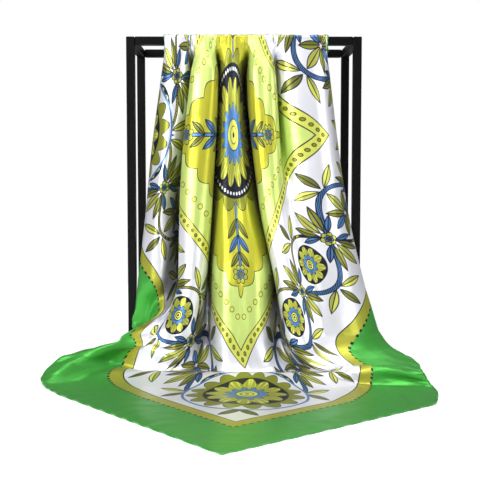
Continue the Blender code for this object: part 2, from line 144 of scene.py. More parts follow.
# ---- the corner on the floor ----
# Where the cloth turns onto the floor it runs through the same ten flat distances everywhere:
# ``out`` and height ``z`` at four flat places across, and how far it is gathered sideways.
TURN_T = (-440.0, -410.0, -385.0, -366.0, -350.0, -336.0, -320.0, -303.0, -287.0, T_FOOT)
TURN_PROFILES = (
    dict(s=-305.0,
         out=(145, 130, 112, 96, 81, 68, 55, 45, 38, 33),
         z=(1, 1, 2.5, 7, 17, 23.5, 27, 31, 37, 44)),
    dict(s=-230.0,
         out=(153, 128, 108, 92, 79, 64, 50, 40, 34, 31),
         z=(1, 1, 1.4, 4.4, 9.4, 11, 13.4, 25, 33, 44)),
    dict(s=0.0,
         out=(179, 149, 128, 109, 94, 80, 66, 57, 53, 51),
         z=(1, 1, 4, 9.4, 11.8, 6.4, 1.4, 8.4, 24, 45)),
    dict(s=250.0,
         out=(206, 152, 124, 112, 110, 98, 80, 62, 48, 38),
         z=(1, 1, 1.6, 6.4, 14.4, 15.9, 17.4, 20.4, 27, 40)),
)
GATHER_LEFT = (0.99, 0.95, 0.905, 0.863, 0.80, 0.73, 0.64, 0.555, 0.50, 0.48)
GATHER_RIGHT = (0.975, 0.885, 0.79, 0.71, 0.65, 0.61, 0.57, 0.51, 0.46, 0.42)
TIP_X = -22.0  # the corner that lies towards the viewer
TIP_OUT = 374.0
FLOOR_TURN = math.radians(6.3)  # its diagonal's turn about the vertical
RISE_END = -350.0  # how far in front of T_FOOT the hanging folds die out

# ---- the run over the rails and the fall behind ----
BACK_GATHER = 0.25  # width behind for each mm of flat cloth
BUNCH_FROM = 376.0  # flat place beyond which the cloth is bunched closer
BUNCH_GATHER = 0.06
BACK_FAN = 0.30  # how much wider the fall is at the floor than at the rail
PLEAT_PITCH = 104.0  # flat length of one pleat
PLEAT_DEPTH = 24.0
PLEAT_SET_BACK = 2.0  # how far the pleats' middle moves in under the rail
# how far pleats wander from an even pitch, in radians, waves of that for each pleat, its start
PLEATS_WANDER = (0.55, 0.37, 0.8)
PLEAT_ROUND = 3.5  # how far the cloth moves sideways to round a pleat's crest
PLEAT_START = LEVEL["rail"]
PLEAT_FULL = 46.0  # drop over which the pleats open
TROUGH_DEPTH = 36.0  # of the cloth's troughs between the two rails
TAUT_FROM = 290.0  # flat places between which the troughs flatten to the hems
TAUT_TO = 380.0
TAUT_SHARE = 0.85
TOP_EVEN = 0.4  # share of the top over which the gathers even out

# ---- how finely the cloth is cut into faces: start, end and steps along the half diagonal ----
STEPS = (
    (0.0, 270.0, 68),
    (270.0, HALF - T_BACK, 25),
    (HALF - T_BACK, HALF - T_REAR, 4),
    (HALF - T_REAR, HALF - T_TOP, 29),
    (HALF - T_TOP, HALF - T_FRONT, 4),
    (HALF - T_FRONT, HALF, 20),
)

# ---- creases: soft ridges (+) and troughs (-) between two flat places, mm ----
# start, end, bow to one side, width, depth
CREASES = (
    ((184, -388), (168, -474), 3, 5, -3.2),
    ((176, -388), (156, -470), 3, 6, 2.0),
    ((130, -356), (258, -392), -3, 7, -9.0),
    ((140, -334), (276, -362), 4, 9, 6.5),
    ((190, -300), (148, -372), 4, 7, 2.4),
    ((60, -350), (95, -290), -4, 7, 2.2),
    ((-236, -398), (-312, -292), -6, 11, 7.0),
    ((-205, -392), (-268, -300), -4, 12, -5.0),
    ((-290, -292), (-130, -312), 6, 9, 7.5),
    ((-276, -316), (-120, -338), 6, 8, -8.0),
    ((-60, -560), (-120, -470), 5, 12, 0.9),
    ((40, -570), (110, -470), -6, 11, 0.9),
    ((10, -520), (-20, -420), 5, 16, 0.8),
)

CREASE_END = 0.7  # how bluntly a crease fades at its ends
CALM = 12.0  # flat distance from a bend at which creases start to show
CALM_FADE = 30.0

GATHER_PITCH = 27.0  # flat length of one small gather over the rails
GATHER_RISE = 3.0
GATHERS_WANDER = (1.1, 0.31, 0.5)  # as the pleats
GATHER_FROM = 118.0  # flat places t between which the gathers stand
GATHER_TO = 350.0
GATHER_FADE = 16.0

HEM_WIDTH = 2.2  # of the turned and stitched edge
HEM_THICK = 1.3
PUCKER_PITCH = 23.0  # along the hem, from one pucker to the next
PUCKER_DEPTH = 0.7
PUCKER_REACH = 14.0  # how far the puckers run into the cloth
PUCKER_UNEVEN = 1.3  # how far they wander from an even pitch, radians
PUCKER_WANDER = 31.0  # flat length of one radian of that wandering
PUCKER_SHIFT = (60, 25)  # moves them along, so that the four sides differ
STITCH_PITCH = 3.2
STITCH_LONG = 1.9
STITCH_THICK = 0.4
HEM_INSIDE = 0.995  # towards the middle, to find the cloth's way in from its edge
HEM_PROUD = 0.3  # how far the roll stands out past the cloth's edge
FLOOR_GAP = 0.1
HEM_STEP = 2.5  # between two cuts of the hem's tube
HEM_SIDES = 8

# ---- the soft lights: name, place, size and power ----
SOFTBOXES = (
    ("key_softbox", (-1.1, -1.6, 0.95), (0.35, 1.3), 36.0),
    ("fill_softbox", (1.5, -1.2, 0.8), (0.35, 1.3), 11.0),
    ("top_softbox", (0.1, -0.5, 1.9), (1.4, 0.9), 24.0),
    ("back_softbox", (0.3, 1.2, 1.9), (1.0, 0.8), 10.0),
)
LIGHTS_AIM = (0.0, 0.0, 0.2)
FLOOR_RADIUS = 0.95
FLOOR_SIDES = 96
SENSOR_WIDTH = 36.0

# ---- the print on the flat square, mm from its middle ----
HEART_EDGE = 146.0  # the yellow heart ends in scallops
SCALLOP_PITCH = 28.0
SCALLOP_RISE = 8.0
LIME_EDGE = 200.0  # the lime band ends at the ribbon
RIBBON_EDGE = 214.0  # the ribbon ends at the white field
FIELD_EDGE = 375.0  # the field ends at the outer band
BAND_EDGE = 389.0  # the outer band ends at the green border
PRINT_SOFT = 0.5  # over which one ink passes into the next
LINE = 1.3  # of a drawn outline
VINE_MIDDLE = (RIBBON_EDGE + FIELD_EDGE) / 2
VINE_PITCH = 2 * VINE_MIDDLE / 3  # so that both stems cross at each corner
VINE_RISE = 42.0
VINE_WIDTH = 5.5
CORD_WIDTH = 3.6
TWIST = 4.4  # of the strokes across a stem
# leaves of the field: place beside an eye or a crossing of the stems, angle, length, width, ink
EYE_LEAVES = ((0, 47, 90, 30, 10, "leaf"), (4, 45, 24, 34, 10, "straw"))
CROSSING_LEAVES = ((0, 10, 90, 40, 12, "straw"), (4, 9, 62, 36, 9, "leaf"), (6, 6, 33, 24, 7, "stem"))
SPRIG_LEAVES = ((0, 2, 90, 36, 12, "straw"), (2, 1, 45, 30, 10, "leaf"), (4, 0, 0, 26, 9, "stem"))
# leaf pairs along each diagonal of the heart
HEART_LEAVES = ((112, 0, 38, 34, 10, "leaf"), (134, 0, 38, 30, 9, "stem"), (156, 0, 38, 26, 8, "leaf"))
# flowers: radius and petals
FIELD_FLOWER = (25.0, 10)
KNOT_FLOWER = (9.0, 6)
CORNER_FLOWER = (46.0, 12)
HEART_FLOWER = (13.0, 8)
MEDALLION = (70.0, 16)
# parts of a flower as shares of its radius
ROSETTE = dict(outer=0.74, outer_rise=0.26, inner=0.38, inner_rise=0.18, eye=0.28, ring=0.16,
               dot=0.04, spoke=0.5, spoke_from=0.62)
HATCHES = 3  # strokes across each petal
HATCH_WAVE = 0.5  # how far their ends run in and out
HATCH_END = 1.1  # where they die out, as a share of the radius
HATCH_SOFT = 0.5
HATCH_SHADE = 0.8
LEAF_SHADE = 0.4
TWIST_LEAN = 0.8  # how the strokes across a stem lean and bow
TWIST_BOW = 1.5
TWIST_SHARE = (0.5, 0.1)  # of a stem that they cover
TWIST_SOFT = 0.6
STEM_LINE = 1.0
BEAD_LINE = 0.9
# rows of beads: place, pitch, radius, ink
BEAD_ROWS = ((176, 14.0, 3.6, "straw"), ((LIME_EDGE + RIBBON_EDGE) / 2, 9.0, 2.2, "leaf"))
DASH_PITCH = 9.0
DASH_WIDTH = 2.6
# about a flower, from its edge outwards
RAYS = 16
CORNER_RAYS = (6, 13.0)  # where the points start and how far they run
MEDALLION_RAYS = (18, 15.0)
FIELD_RIM = 1.5
CORNER_RIM = 2
MEDALLION_RIM = 15
CORNER_CIRCLE = (23, 3.0)  # place and width
CORNER_CLEAR = 24
PEARLS = 60
PEARL_RADIUS = 2.9
PEARLS_OUT = 8
# the stem along each diagonal of the heart
STEM_END = 182.0
STEM_HALF = 2.2
HEART_FLOWER_PLACE = 186
FLAT_MAP = "flat"
REVERSE = "reverse"

# ---- the finishes ----
SATIN = {
    "Metallic": 0.5, "Specular IOR Level": 0.2, "Specular Tint": (0.45, 0.45, 0.45, 1.0),
    "Sheen Weight": 0.06, "Sheen Roughness": 0.4}
THREAD = {"Specular IOR Level": 0.3, "Sheen Weight": 0.2}
COAT = {"Specular IOR Level": 0.12}
PAPER_ROUGH = 0.8
# the least roughness, and what the noise adds to it
SATIN_ROUGH = (0.27, 0.12)
THREAD_ROUGH = (0.35, 0.3)
COAT_ROUGH = (0.22, 0.2)
# noises: how fine
SATIN_CLOUDS = 42.0
THREAD_STRANDS = 240.0
COAT_GRAIN = 900.0
COAT_CLOUDS = 60.0
PAPER_GRAIN = 400.0
# bumps: how deep, in metres, and how strong
RIPPLE_BUMP = (0.004, 0.28)
WEAVE_BUMP = (0.00002, 0.5)
THREAD_BUMP = (0.0004, 0.6)
COAT_BUMP = (0.00006, 0.5)
PAPER_BUMP = (0.0001, 0.2)
# long ripples in the satin: waves for each mm along the one diagonal and the other
RIPPLES = ((0.008, 0.028), (0.03, 0.007))
WEAVE_PITCH = 0.9
WEAVE_LEAN = 0.5
REVERSE_PALE = 0.22  # how far the print fades on the reverse
REVERSE_TONE = (0.9, 0.9, 0.9, 1.0)
# the brighter edges of a tube, partly rubbed wear and partly a painted highlight, in metres: how wide,
# how far they wander, how soft, and how far towards the brighter colour
EDGE_WEAR_AND_HIGHLIGHT_WIDTH = 0.0011
EDGE_WEAR_AND_HIGHLIGHT_WANDER = 0.0016
EDGE_WEAR_AND_HIGHLIGHT_SOFT = 0.0006
EDGE_WEAR_AND_HIGHLIGHT_SHARE = 0.8


def ink(red, green, blue):
    """A printed colour given as it looks, 0 to 255, as the shader's linear RGBA."""
    parts = [value / 255 for value in (red, green, blue)]
    linear = [part / 12.92 if part < 0.04045 else ((part + 0.055) / 1.055) ** 2.4 for part in parts]
    return (*linear, 1.0)


# ---- curves ----
def column(name):
    """One column of the fold table as an array."""
    place = FOLD_COLUMNS.index(name)
    return np.array([row[place] for row in FOLDS], float)


def slopes(knots, values, steady):
    """Slopes of a curve through the values; a steady one never passes beyond them."""
    run = np.diff(knots)
    rise = np.diff(values, axis=-1) / run
    before, after = rise[..., :-1], rise[..., 1:]
    if steady:
        same_way = before * after > 0
        total = np.where(same_way, before + after, 1.0)
        inner = np.where(same_way, 2 * before * after / total, 0.0)
    else:
        inner = (before * run[1:] + after * run[:-1]) / (run[1:] + run[:-1])
    return np.concatenate((rise[..., :1], inner, rise[..., -1:]), -1)


def curve(knots, values, at, steady=False):
    """Read a smooth curve: values has one row for each reading, or a single row for all."""
    knots = np.asarray(knots, float)
    values = np.atleast_2d(np.asarray(values, float))
    at = np.asarray(at, float)
    slope = slopes(knots, values, steady)
    span = np.clip(np.searchsorted(knots, at) - 1, 0, len(knots) - 2)
    run = knots[span + 1] - knots[span]
    u = np.clip((at - knots[span]) / run, 0, 1)
    row = np.arange(len(at)) if len(values) > 1 else np.zeros(len(at), int)
    start, end = values[row, span], values[row, span + 1]
    leave, arrive = slope[row, span] * run, slope[row, span + 1] * run
    v = 1 - u
    return (start * v * v * (1 + 2 * u) + end * u * u * (1 + 2 * v)
            + leave * u * v * v - arrive * u * u * v)


def smooth(value):
    """Ease from 0 to 1."""
    value = np.clip(value, 0, 1)
    return value * value * (3 - 2 * value)


# ---- the draped cloth ----
def hanging(s, z):
    """x and out of the hanging front at flat place s and height z."""
    open_levels = ("foot", "knee", "low", "mid", "top")
    heights = [LEVEL[name] for name in open_levels + ("rail", "bar")]
    across = np.stack([column("x_" + name) for name in open_levels + ("bar", "bar")], 1)
    before = np.stack([column("out_" + name) for name in open_levels]
                      + [LIFT + FOLD_AT_RAIL * np.maximum(column("out_top"), 0),
                         np.full(len(FOLDS), LIFT)], 1)
    places = column("s")
    count = len(z)
    x_at = np.empty((count, len(FOLDS)))
    out_at = np.empty((count, len(FOLDS)))
    for fold in range(len(FOLDS)):
        x_at[:, fold] = curve(heights, across[fold], z, True)
        out_at[:, fold] = curve(heights, before[fold], z, True)
    return curve(places, x_at, s), curve(places, out_at, s)


def turning(s, t):
    """x, out and z where the cloth turns onto the floor and lies on it."""
    along = t + HALF
    gather = np.where(s < 0, curve(TURN_T, GATHER_LEFT, t), curve(TURN_T, GATHER_RIGHT, t))
    lying = t < TURN_T[0]
    fade = np.clip(along / (TURN_T[0] + HALF), 0, 1)
    gather = np.where(lying, 1 - (1 - gather) * fade, gather)
    sine, cosine = math.sin(FLOOR_TURN), math.cos(FLOOR_TURN)
    x = TIP_X + sine * along + s * cosine * gather
    flat_out = TIP_OUT - cosine * along + sine * s
    places = [profile["s"] for profile in TURN_PROFILES]
    out_at = []
    z_at = []
    for profile in TURN_PROFILES:
        start = TIP_OUT - cosine * (TURN_T[0] + HALF) + sine * profile["s"]
        outs = (start,) + profile["out"][1:]
        out_at.append(curve(TURN_T, outs, t) - sine * profile["s"])
        z_at.append(curve(TURN_T, profile["z"], t))
    inside_places = np.clip(s, places[0], places[-1])
    out = curve(places, np.stack(out_at, 1), inside_places) + sine * s
    z = curve(places, np.stack(z_at, 1), inside_places, True)
    return x, np.where(lying, flat_out, out), np.where(lying, CAD_WALL, z)


def front(s, t):
    """The cloth before the stand: the hanging folds run out into the corner on the floor."""
    height = curve(HANG_T, HANG_Z, t)
    hang_x, hang_out = hanging(s, np.maximum(height, Z_FOOT))
    foot_x, foot_out = hanging(s, np.full_like(s, Z_FOOT))
    turn_x, turn_out, turn_z = turning(s, np.minimum(t, T_FOOT))
    join_x, join_out, join_z = turning(s, np.full_like(s, T_FOOT))
    fade = 1 - smooth((T_FOOT - t) / (T_FOOT - RISE_END))
    floor = t < T_FOOT
    x = np.where(floor, turn_x + (foot_x - join_x) * fade, hang_x)
    out = np.where(floor, turn_out + (foot_out - join_out) * fade, hang_out)
    z = np.where(floor, turn_z + (Z_FOOT - join_z) * fade, height)
    return x, -out, np.maximum(z, CAD_WALL)


def uneven_turn(s, pitch, much, waves, start):
    """How far round its fold a flat place is, where the folds' pitch wanders, radians."""
    turn = 2 * math.pi * s / pitch
    return turn + much * np.sin(turn * waves + start)


def gathered(s):
    """Place across the back rail; the cloth's outer parts are bunched close together."""
    inside_places = np.clip(s, -BUNCH_FROM, BUNCH_FROM)
    return BACK_GATHER * inside_places + BUNCH_GATHER * (s - inside_places)


def over_the_top(s, t):
    """The cloth on the two rails, with troughs between them."""
    share = np.clip((t - T_TOP) / (T_REAR - T_TOP), 0, 1)
    y = (WRAP_RADIUS - LIFT) + share * (STAND_DEPTH - 2 * (WRAP_RADIUS - LIFT))
    x_front = curve(column("s"), column("x_bar"), s)
    x = x_front + (gathered(s) - x_front) * smooth(share / TOP_EVEN)
    hung = TUBE + LIFT
    between = np.clip((y - hung) / (STAND_DEPTH - 2 * hung), 0, 1)
    sag = np.sin(math.pi * between) ** 2
    taut = smooth((np.abs(s) - TAUT_FROM) / (TAUT_TO - TAUT_FROM))
    trough = 0.5 - 0.5 * np.cos(uneven_turn(s, PLEAT_PITCH, *PLEATS_WANDER))
    z = Z_TOP - TROUGH_DEPTH * sag * trough * (1 - TAUT_SHARE * taut)
    return x, y, z


def behind(s, t):
    """The cloth that hangs behind the stand in upright pleats, down to the rear corner."""
    drop = np.maximum(t - T_BACK, 0)
    z = Z_RAIL - drop
    opened = smooth((PLEAT_START - z) / PLEAT_FULL)
    turn = uneven_turn(s, PLEAT_PITCH, *PLEATS_WANDER)
    x = gathered(s) * (1 + BACK_FAN * drop / STAND_HEIGHT) + opened * PLEAT_ROUND * np.sin(2 * turn)
    y = STAND_DEPTH + LIFT + opened * (PLEAT_DEPTH * np.cos(turn) - PLEAT_SET_BACK)
    return x, y, z


def bend(s, t, start, front_edge):
    """The quarter turn over a rail's edge."""
    angle = np.clip((t - start) / WRAP, 0, 1) * math.pi / 2
    middle = WRAP_RADIUS - LIFT
    if front_edge:
        x = curve(column("s"), column("x_bar"), s)
        return x, middle - WRAP_RADIUS * np.cos(angle), Z_RAIL + WRAP_RADIUS * np.sin(angle)
    y = STAND_DEPTH - middle + WRAP_RADIUS * np.sin(angle)
    return gathered(s), y, Z_RAIL + WRAP_RADIUS * np.cos(angle)


def drape(s, t):
    """Places x, y, z of the draped cloth at the flat places s, t."""
    stretches = (
        (t <= T_FRONT, front(s, np.minimum(t, T_FRONT))),
        ((t > T_FRONT) & (t < T_TOP), bend(s, t, T_FRONT, True)),
        ((t >= T_TOP) & (t <= T_REAR), over_the_top(s, t)),
        ((t > T_REAR) & (t < T_BACK), bend(s, t, T_REAR, False)),
        (t >= T_BACK, behind(s, t)),
    )
    place = np.zeros((len(s), 3))
    for chosen, xyz in stretches:
        place[chosen] = np.stack(xyz, 1)[chosen]
    return place


# ---- creases and puckers ----
def crease(s, t, start, end, bow, width, depth):
    """One soft ridge or trough: it bows to one side and fades to its ends."""
    run = np.subtract(end, start)
    long = math.hypot(*run)
    along = ((s - start[0]) * run[0] + (t - start[1]) * run[1]) / long ** 2
    aside = ((t - start[1]) * run[0] - (s - start[0]) * run[1]) / long
    inner = np.clip(along, 0, 1)
    fade = np.sin(math.pi * inner) ** CREASE_END
    off = (aside - bow * np.sin(math.pi * inner)) / width
    return depth * fade * np.exp(-off ** 2)


def off_the_rails(t):
    """0 where the cloth bears on a rail, 1 well away from both."""
    near = np.minimum(np.abs(t - T_TOP), np.abs(t - T_REAR))
    return smooth((near - CALM) / CALM_FADE)


def gathers(s, t):
    """The small gathers that stand up where the cloth is bunched over the rails and behind."""
    wave = 0.5 + 0.5 * np.sin(uneven_turn(s, GATHER_PITCH, *GATHERS_WANDER))
    window = smooth((t - GATHER_FROM) / GATHER_FADE) * smooth((GATHER_TO - t) / GATHER_FADE)
    return GATHER_RISE * wave * window


def relief(s, t):
    """How far the creases and the puckers at the hem lift the cloth's outer face."""
    lift = np.zeros_like(s)
    for fold in CREASES:
        lift += crease(s, t, *fold)
    to_hem = (HALF - np.abs(s) - np.abs(t)) / math.sqrt(2)
    along = ((np.abs(s) - np.abs(t)) / math.sqrt(2)
             + PUCKER_SHIFT[0] * np.sign(s) + PUCKER_SHIFT[1] * np.sign(t))
    uneven = PUCKER_UNEVEN * np.sin(along / PUCKER_WANDER)
    wave = np.sin(2 * math.pi * along / PUCKER_PITCH + uneven)
    lift += PUCKER_DEPTH * wave * np.exp(-np.maximum(to_hem, 0) / PUCKER_REACH)
    return lift * off_the_rails(t) + gathers(s, t)


def half_diagonal_steps(share):
    """The flat distances from the middle at which the cloth is cut into faces."""
    steps = [0.0]
    for start, end, count in STEPS:
        count = max(2, round(count * share))
        steps += [start + (end - start) * step / count for step in range(1, count + 1)]
    return steps


def flat_grid(steps):
    """Flat places s, t of the cloth's points and its faces.

    Rows and columns share one set of steps, so the square's hems run through the corners of
    its faces.
    """
    count = len(steps) - 1
    index = {}
    places = []
    for row in range(-count, count + 1):
        reach = count - abs(row)
        t = math.copysign(HALF - steps[reach], row)
        for place in range(-reach, reach + 1):
            index[place, row] = len(places)
            places.append((math.copysign(steps[abs(place)], place), t))
    faces = []
    for row in range(-count, count):
        for place in range(-count, count):
            around = ((place, row), (place + 1, row), (place + 1, row + 1), (place, row + 1))
            around = [index[key] for key in around if key in index]
            if len(around) > 2:
                faces.append(around)
    return np.array(places), faces


def flat_places(s, t):
    """The same places along the square's two sides, as shares of a side from one corner."""
    a = (s + t) / math.sqrt(2)
    b = (s - t) / math.sqrt(2)
    return np.stack((a, b), -1) / SCARF_SIDE + 0.5


def outward(places, faces):
    """The direction in which the cloth's outer face looks, at each of its points."""
    probe = bpy.data.meshes.new("probe")
    probe.from_pydata(places * MM, [], faces)
    probe.update()
    facing = np.empty(len(places) * 3, np.float32)
    probe.vertex_normals.foreach_get("vector", facing)
    bpy.data.meshes.remove(probe)
    return facing.reshape(-1, 3).astype(float)


def creased(s, t, places, facing):
    """The cloth's outer face with its creases and puckers, clear of the floor."""
    lifted = places + facing * relief(s, t)[:, None]
    lifted[:, 2] = np.maximum(lifted[:, 2], np.minimum(places[:, 2], CAD_WALL))
    return lifted


def new_piece(name, places, faces):
    """A piece from points in the stand's frame, mm, hung from the root body."""
    mesh = bpy.data.meshes.new(name)
    mesh.from_pydata(places * MM + np.array(STAND_PLACE), [], faces)
    mesh.update()
    mesh.shade_smooth()
    piece = bpy.data.objects.new(name, mesh)
    bpy.context.scene.collection.objects.link(piece)
    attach(piece, "root")
    return piece


# ---- shader maths ----
class Field:
    """A value that varies over a surface. Arithmetic on it adds Math nodes."""

    def __init__(self, finish, socket):
        self.finish = finish
        self.socket = socket

    def also(self, output):
        """Another output of the same node."""
        return Field(self.finish, self.socket.node.outputs[output])

    def maths(self, operation, *others, clamp=False):
        """A Math node on this value and others."""
        settings = {"operation": operation, "use_clamp": clamp}
        return self.finish.add("ShaderNodeMath", settings, dict(enumerate((self,) + others)))

    def after(self, operation, first):
        """A Math node on another value and this one."""
        return self.finish.add("ShaderNodeMath", {"operation": operation}, {0: first, 1: self})

    def __add__(self, other):
        return self.maths("ADD", other)

    __radd__ = __add__

    def __sub__(self, other):
        return self.maths("SUBTRACT", other)

    def __rsub__(self, other):
        return self.after("SUBTRACT", other)

    def __mul__(self, other):
        return self.maths("MULTIPLY", other)

    __rmul__ = __mul__

    def __truediv__(self, other):
        return self.maths("DIVIDE", other)

    def __rtruediv__(self, other):
        return self.after("DIVIDE", other)

    def __neg__(self):
        return self.maths("MULTIPLY", -1.0)

    def __abs__(self):
        return self.maths("ABSOLUTE")

    def sine(self):
        return self.maths("SINE")

    def least(self, other):
        return self.maths("MINIMUM", other)

    def most(self, other):
        return self.maths("MAXIMUM", other)

    def every(self, pitch):
        """The same stretch, from -pitch / 2 to pitch / 2, over and over."""
        return self.maths("WRAP", pitch / 2, -pitch / 2)

    def inside(self, soft=PRINT_SOFT):
        """1 where a distance is below nought, eased over a narrow edge."""
        return self.maths("MULTIPLY_ADD", -1 / soft, 0.5, clamp=True)

    def line(self, width):
        """1 on a line where a distance is nought."""
        return (abs(self) - width / 2).inside()


def far(x, y):
    """Distance from a point."""
    return (x * x + y * y).maths("SQRT")


class Finish:
    """One material: its nodes, and the one method that adds them."""

    def __init__(self, name, colour, constants):
        self.material = bpy.data.materials.new(name)
        self.material.use_nodes = True
        self.material.diffuse_color = colour
        self.tree = self.material.node_tree
        self.shader = self.tree.nodes["Principled BSDF"]
        self.feed({"Base Color": colour, **constants})

    def add(self, kind, settings=None, inputs=None, output=0):
        """A node of one kind: its settings first, then the values or fields it takes."""
        node = self.tree.nodes.new(kind)
        for name, value in (settings or {}).items():
            setattr(node, name, value)
        for key, value in (inputs or {}).items():
            self.connect(node.inputs[key], value)
        return Field(self, node.outputs[output])

    def connect(self, socket, value):
        """Give a socket a field or a plain value."""
        if isinstance(value, Field):
            self.tree.links.new(value.socket, socket)
        else:
            socket.default_value = value

    def feed(self, inputs):
        """Give the shader its values and fields."""
        for name, value in inputs.items():
            self.connect(self.shader.inputs[name], value)

    def paint(self, under, mask, over):
        """One colour over another where a mask is 1."""
        inputs = {0: mask, 6: under, 7: over}
        return self.add("ShaderNodeMix", {"data_type": "RGBA"}, inputs, output=2)

    def noise(self, vector, scale, detail=2.0):
        """Cloudy noise from 0 to 1."""
        inputs = {"Vector": vector, "Scale": scale, "Detail": detail}
        return self.add("ShaderNodeTexNoise", {}, inputs)

    def bump(self, height, distance, strength, over=None):
        """The surface's facing, tilted by a height."""
        inputs = {"Height": height, "Distance": distance, "Strength": strength}
        if over is not None:
            inputs["Normal"] = over
        return self.add("ShaderNodeBump", {}, inputs)


# ---- the print ----
class Print:
    """The drawing on the cloth: each shape is inked over the ones before it."""

    def __init__(self, cloth, inks):
        self.cloth = cloth
        self.inks = inks
        self.colour = inks.field

    def wash(self, mask, name):
        """One ink where a mask is 1."""
        self.colour = self.cloth.paint(self.colour, mask, getattr(self.inks, name))

    def fill(self, edge, name):
        """One ink where the distance outside an edge is below nought."""
        self.wash(edge.inside(), name)

    def outline(self, edge, width=LINE):
        """A dark line along an edge."""
        self.wash(edge.line(width), "outline")

    def draw(self, strokes):
        """Dark lines along all strokes, given the distance to the nearest of them."""
        self.fill(strokes - LINE / 2, "outline")

    def rosette(self, x, y, radius, petals):
        """A round flower: two rows of hatched petals about a beaded eye."""
        part = {name: share * radius for name, share in ROSETTE.items()}
        away = far(x, y)
        turn = y.maths("ARCTAN2", x)
        petal = abs((turn * (petals / 2)).sine())
        between = abs((turn * (petals / 2) + math.pi / 2).sine())
        outer = away - (petal * part["outer_rise"] + part["outer"])
        inner = away - (between * part["inner_rise"] + part["inner"])
        eye = away - part["eye"]
        hatch = (turn * (petals * HATCHES)).sine() * HATCH_WAVE + (away * (-1 / radius) + HATCH_END)
        self.fill(outer, "straw")
        self.wash(outer.inside() * hatch.inside(-HATCH_SOFT) * HATCH_SHADE, "leaf")
        self.fill(inner, "stem")
        self.fill(eye, "straw")
        rims = abs(outer).least(abs(inner)).least(abs(eye))
        rims = rims.least(abs(away - part["ring"])).least(away - part["dot"])
        spokes = (petal * part["spoke"]).most(-(away - part["spoke_from"])).most(outer)
        self.draw(rims.least(spokes))

    def leaf(self, x, y, place_x, place_y, angle, long, wide, name):
        """A pointed leaf with a vein and one shaded half."""
        cosine, sine = math.cos(math.radians(angle)), math.sin(math.radians(angle))
        x, y = x - place_x, y - place_y
        along = (x * cosine + y * sine) / long
        aside = y * cosine - x * sine
        edge = abs(aside) - along * (1 - along) * (2 * wide)
        self.fill(edge, name)
        self.wash(edge.most(aside).inside() * LEAF_SHADE, "outline")
        self.draw(abs(edge).least(abs(aside).most(edge + LINE)))

    def vine(self, along, aside, side, width, name):
        """A winding stem with the slanting strokes of a twist."""
        phase = along * (2 * math.pi / VINE_PITCH)
        slope = (phase + math.pi / 2).sine() * (side * VINE_RISE * 2 * math.pi / VINE_PITCH)
        off = (aside - phase.sine() * (side * VINE_RISE)) / (slope * slope + 1).maths("SQRT")
        slant = along + aside * side * TWIST_LEAN + off * TWIST_BOW
        strokes = (slant * (2 * math.pi / TWIST)).sine() * TWIST_SHARE[0] + TWIST_SHARE[1]
        body = abs(off) - width / 2
        self.fill(body, name)
        self.wash(body.inside() * strokes.inside(-TWIST_SOFT), "outline")
        self.outline(body, STEM_LINE)

    def beads(self, along, off, pitch, radius, name):
        """A row of small round beads."""
        edge = far(along.every(pitch), off) - radius
        self.fill(edge, name)
        self.outline(edge, BEAD_LINE)

    def rays(self, away, turn, radius, rise):
        """A ring of rounded points."""
        points = away - (abs((turn * (RAYS / 2)).sine()) * rise + radius)
        self.fill(points, "leaf")
        self.outline(points)

    def white_field(self, out, along):
        """Two winding stems with flowers and leaves, and a larger flower in each corner."""
        aside = out - VINE_MIDDLE
        self.vine(along, aside, -1, CORD_WIDTH, "band")
        self.vine(along, aside, 1, VINE_WIDTH, "stem")
        eye = (along - VINE_PITCH / 4).every(VINE_PITCH / 2)
        crossing = along.every(VINE_PITCH / 2)
        sprig = (along - VINE_PITCH * 3 / 4).every(VINE_PITCH)
        for place, rows in ((eye, EYE_LEAVES), (crossing, CROSSING_LEAVES), (sprig, SPRIG_LEAVES)):
            for row in rows:
                self.leaf(abs(place), abs(aside), *row)
        self.rosette(crossing, aside, *KNOT_FLOWER)
        flower = (along - VINE_PITCH / 4).every(VINE_PITCH)
        self.fill(far(flower, aside) - FIELD_FLOWER[0] - FIELD_RIM, "outline")
        self.rosette(flower, aside, *FIELD_FLOWER)
        corner = along - VINE_MIDDLE
        away = far(aside, corner)
        beyond = away - CORNER_FLOWER[0]
        start, rise = CORNER_RAYS
        self.fill(beyond - CORNER_CLEAR, "field")
        self.rays(away, corner.maths("ARCTAN2", aside), CORNER_FLOWER[0] + start, rise)
        self.fill(beyond - CORNER_RIM, "outline")
        place, width = CORNER_CIRCLE
        self.wash((beyond - place).line(width), "stem")
        self.rosette(aside, corner, *CORNER_FLOWER)

    def heart(self, a, b, out, along):
        """The square's middle: a medallion, and a leafy stem to each corner."""
        inward = (out + along) / math.sqrt(2)
        beside = (out - along) / math.sqrt(2)
        stem = beside.most(inward - STEM_END) - STEM_HALF
        self.fill(stem, "stem")
        self.outline(stem)
        for row in HEART_LEAVES:
            self.leaf(inward, beside, *row)
        self.rosette(inward - HEART_FLOWER_PLACE, beside, *HEART_FLOWER)
        away = far(a, b)
        turn = b.maths("ARCTAN2", a)
        start, rise = MEDALLION_RAYS
        self.rays(away, turn, MEDALLION[0] + start, rise)
        self.fill(away - MEDALLION[0] - MEDALLION_RIM, "outline")
        ring = MEDALLION[0] + PEARLS_OUT
        self.beads(turn * ring, away - ring, 2 * math.pi * ring / PEARLS, PEARL_RADIUS, "field")
        self.rosette(a, b, *MEDALLION)

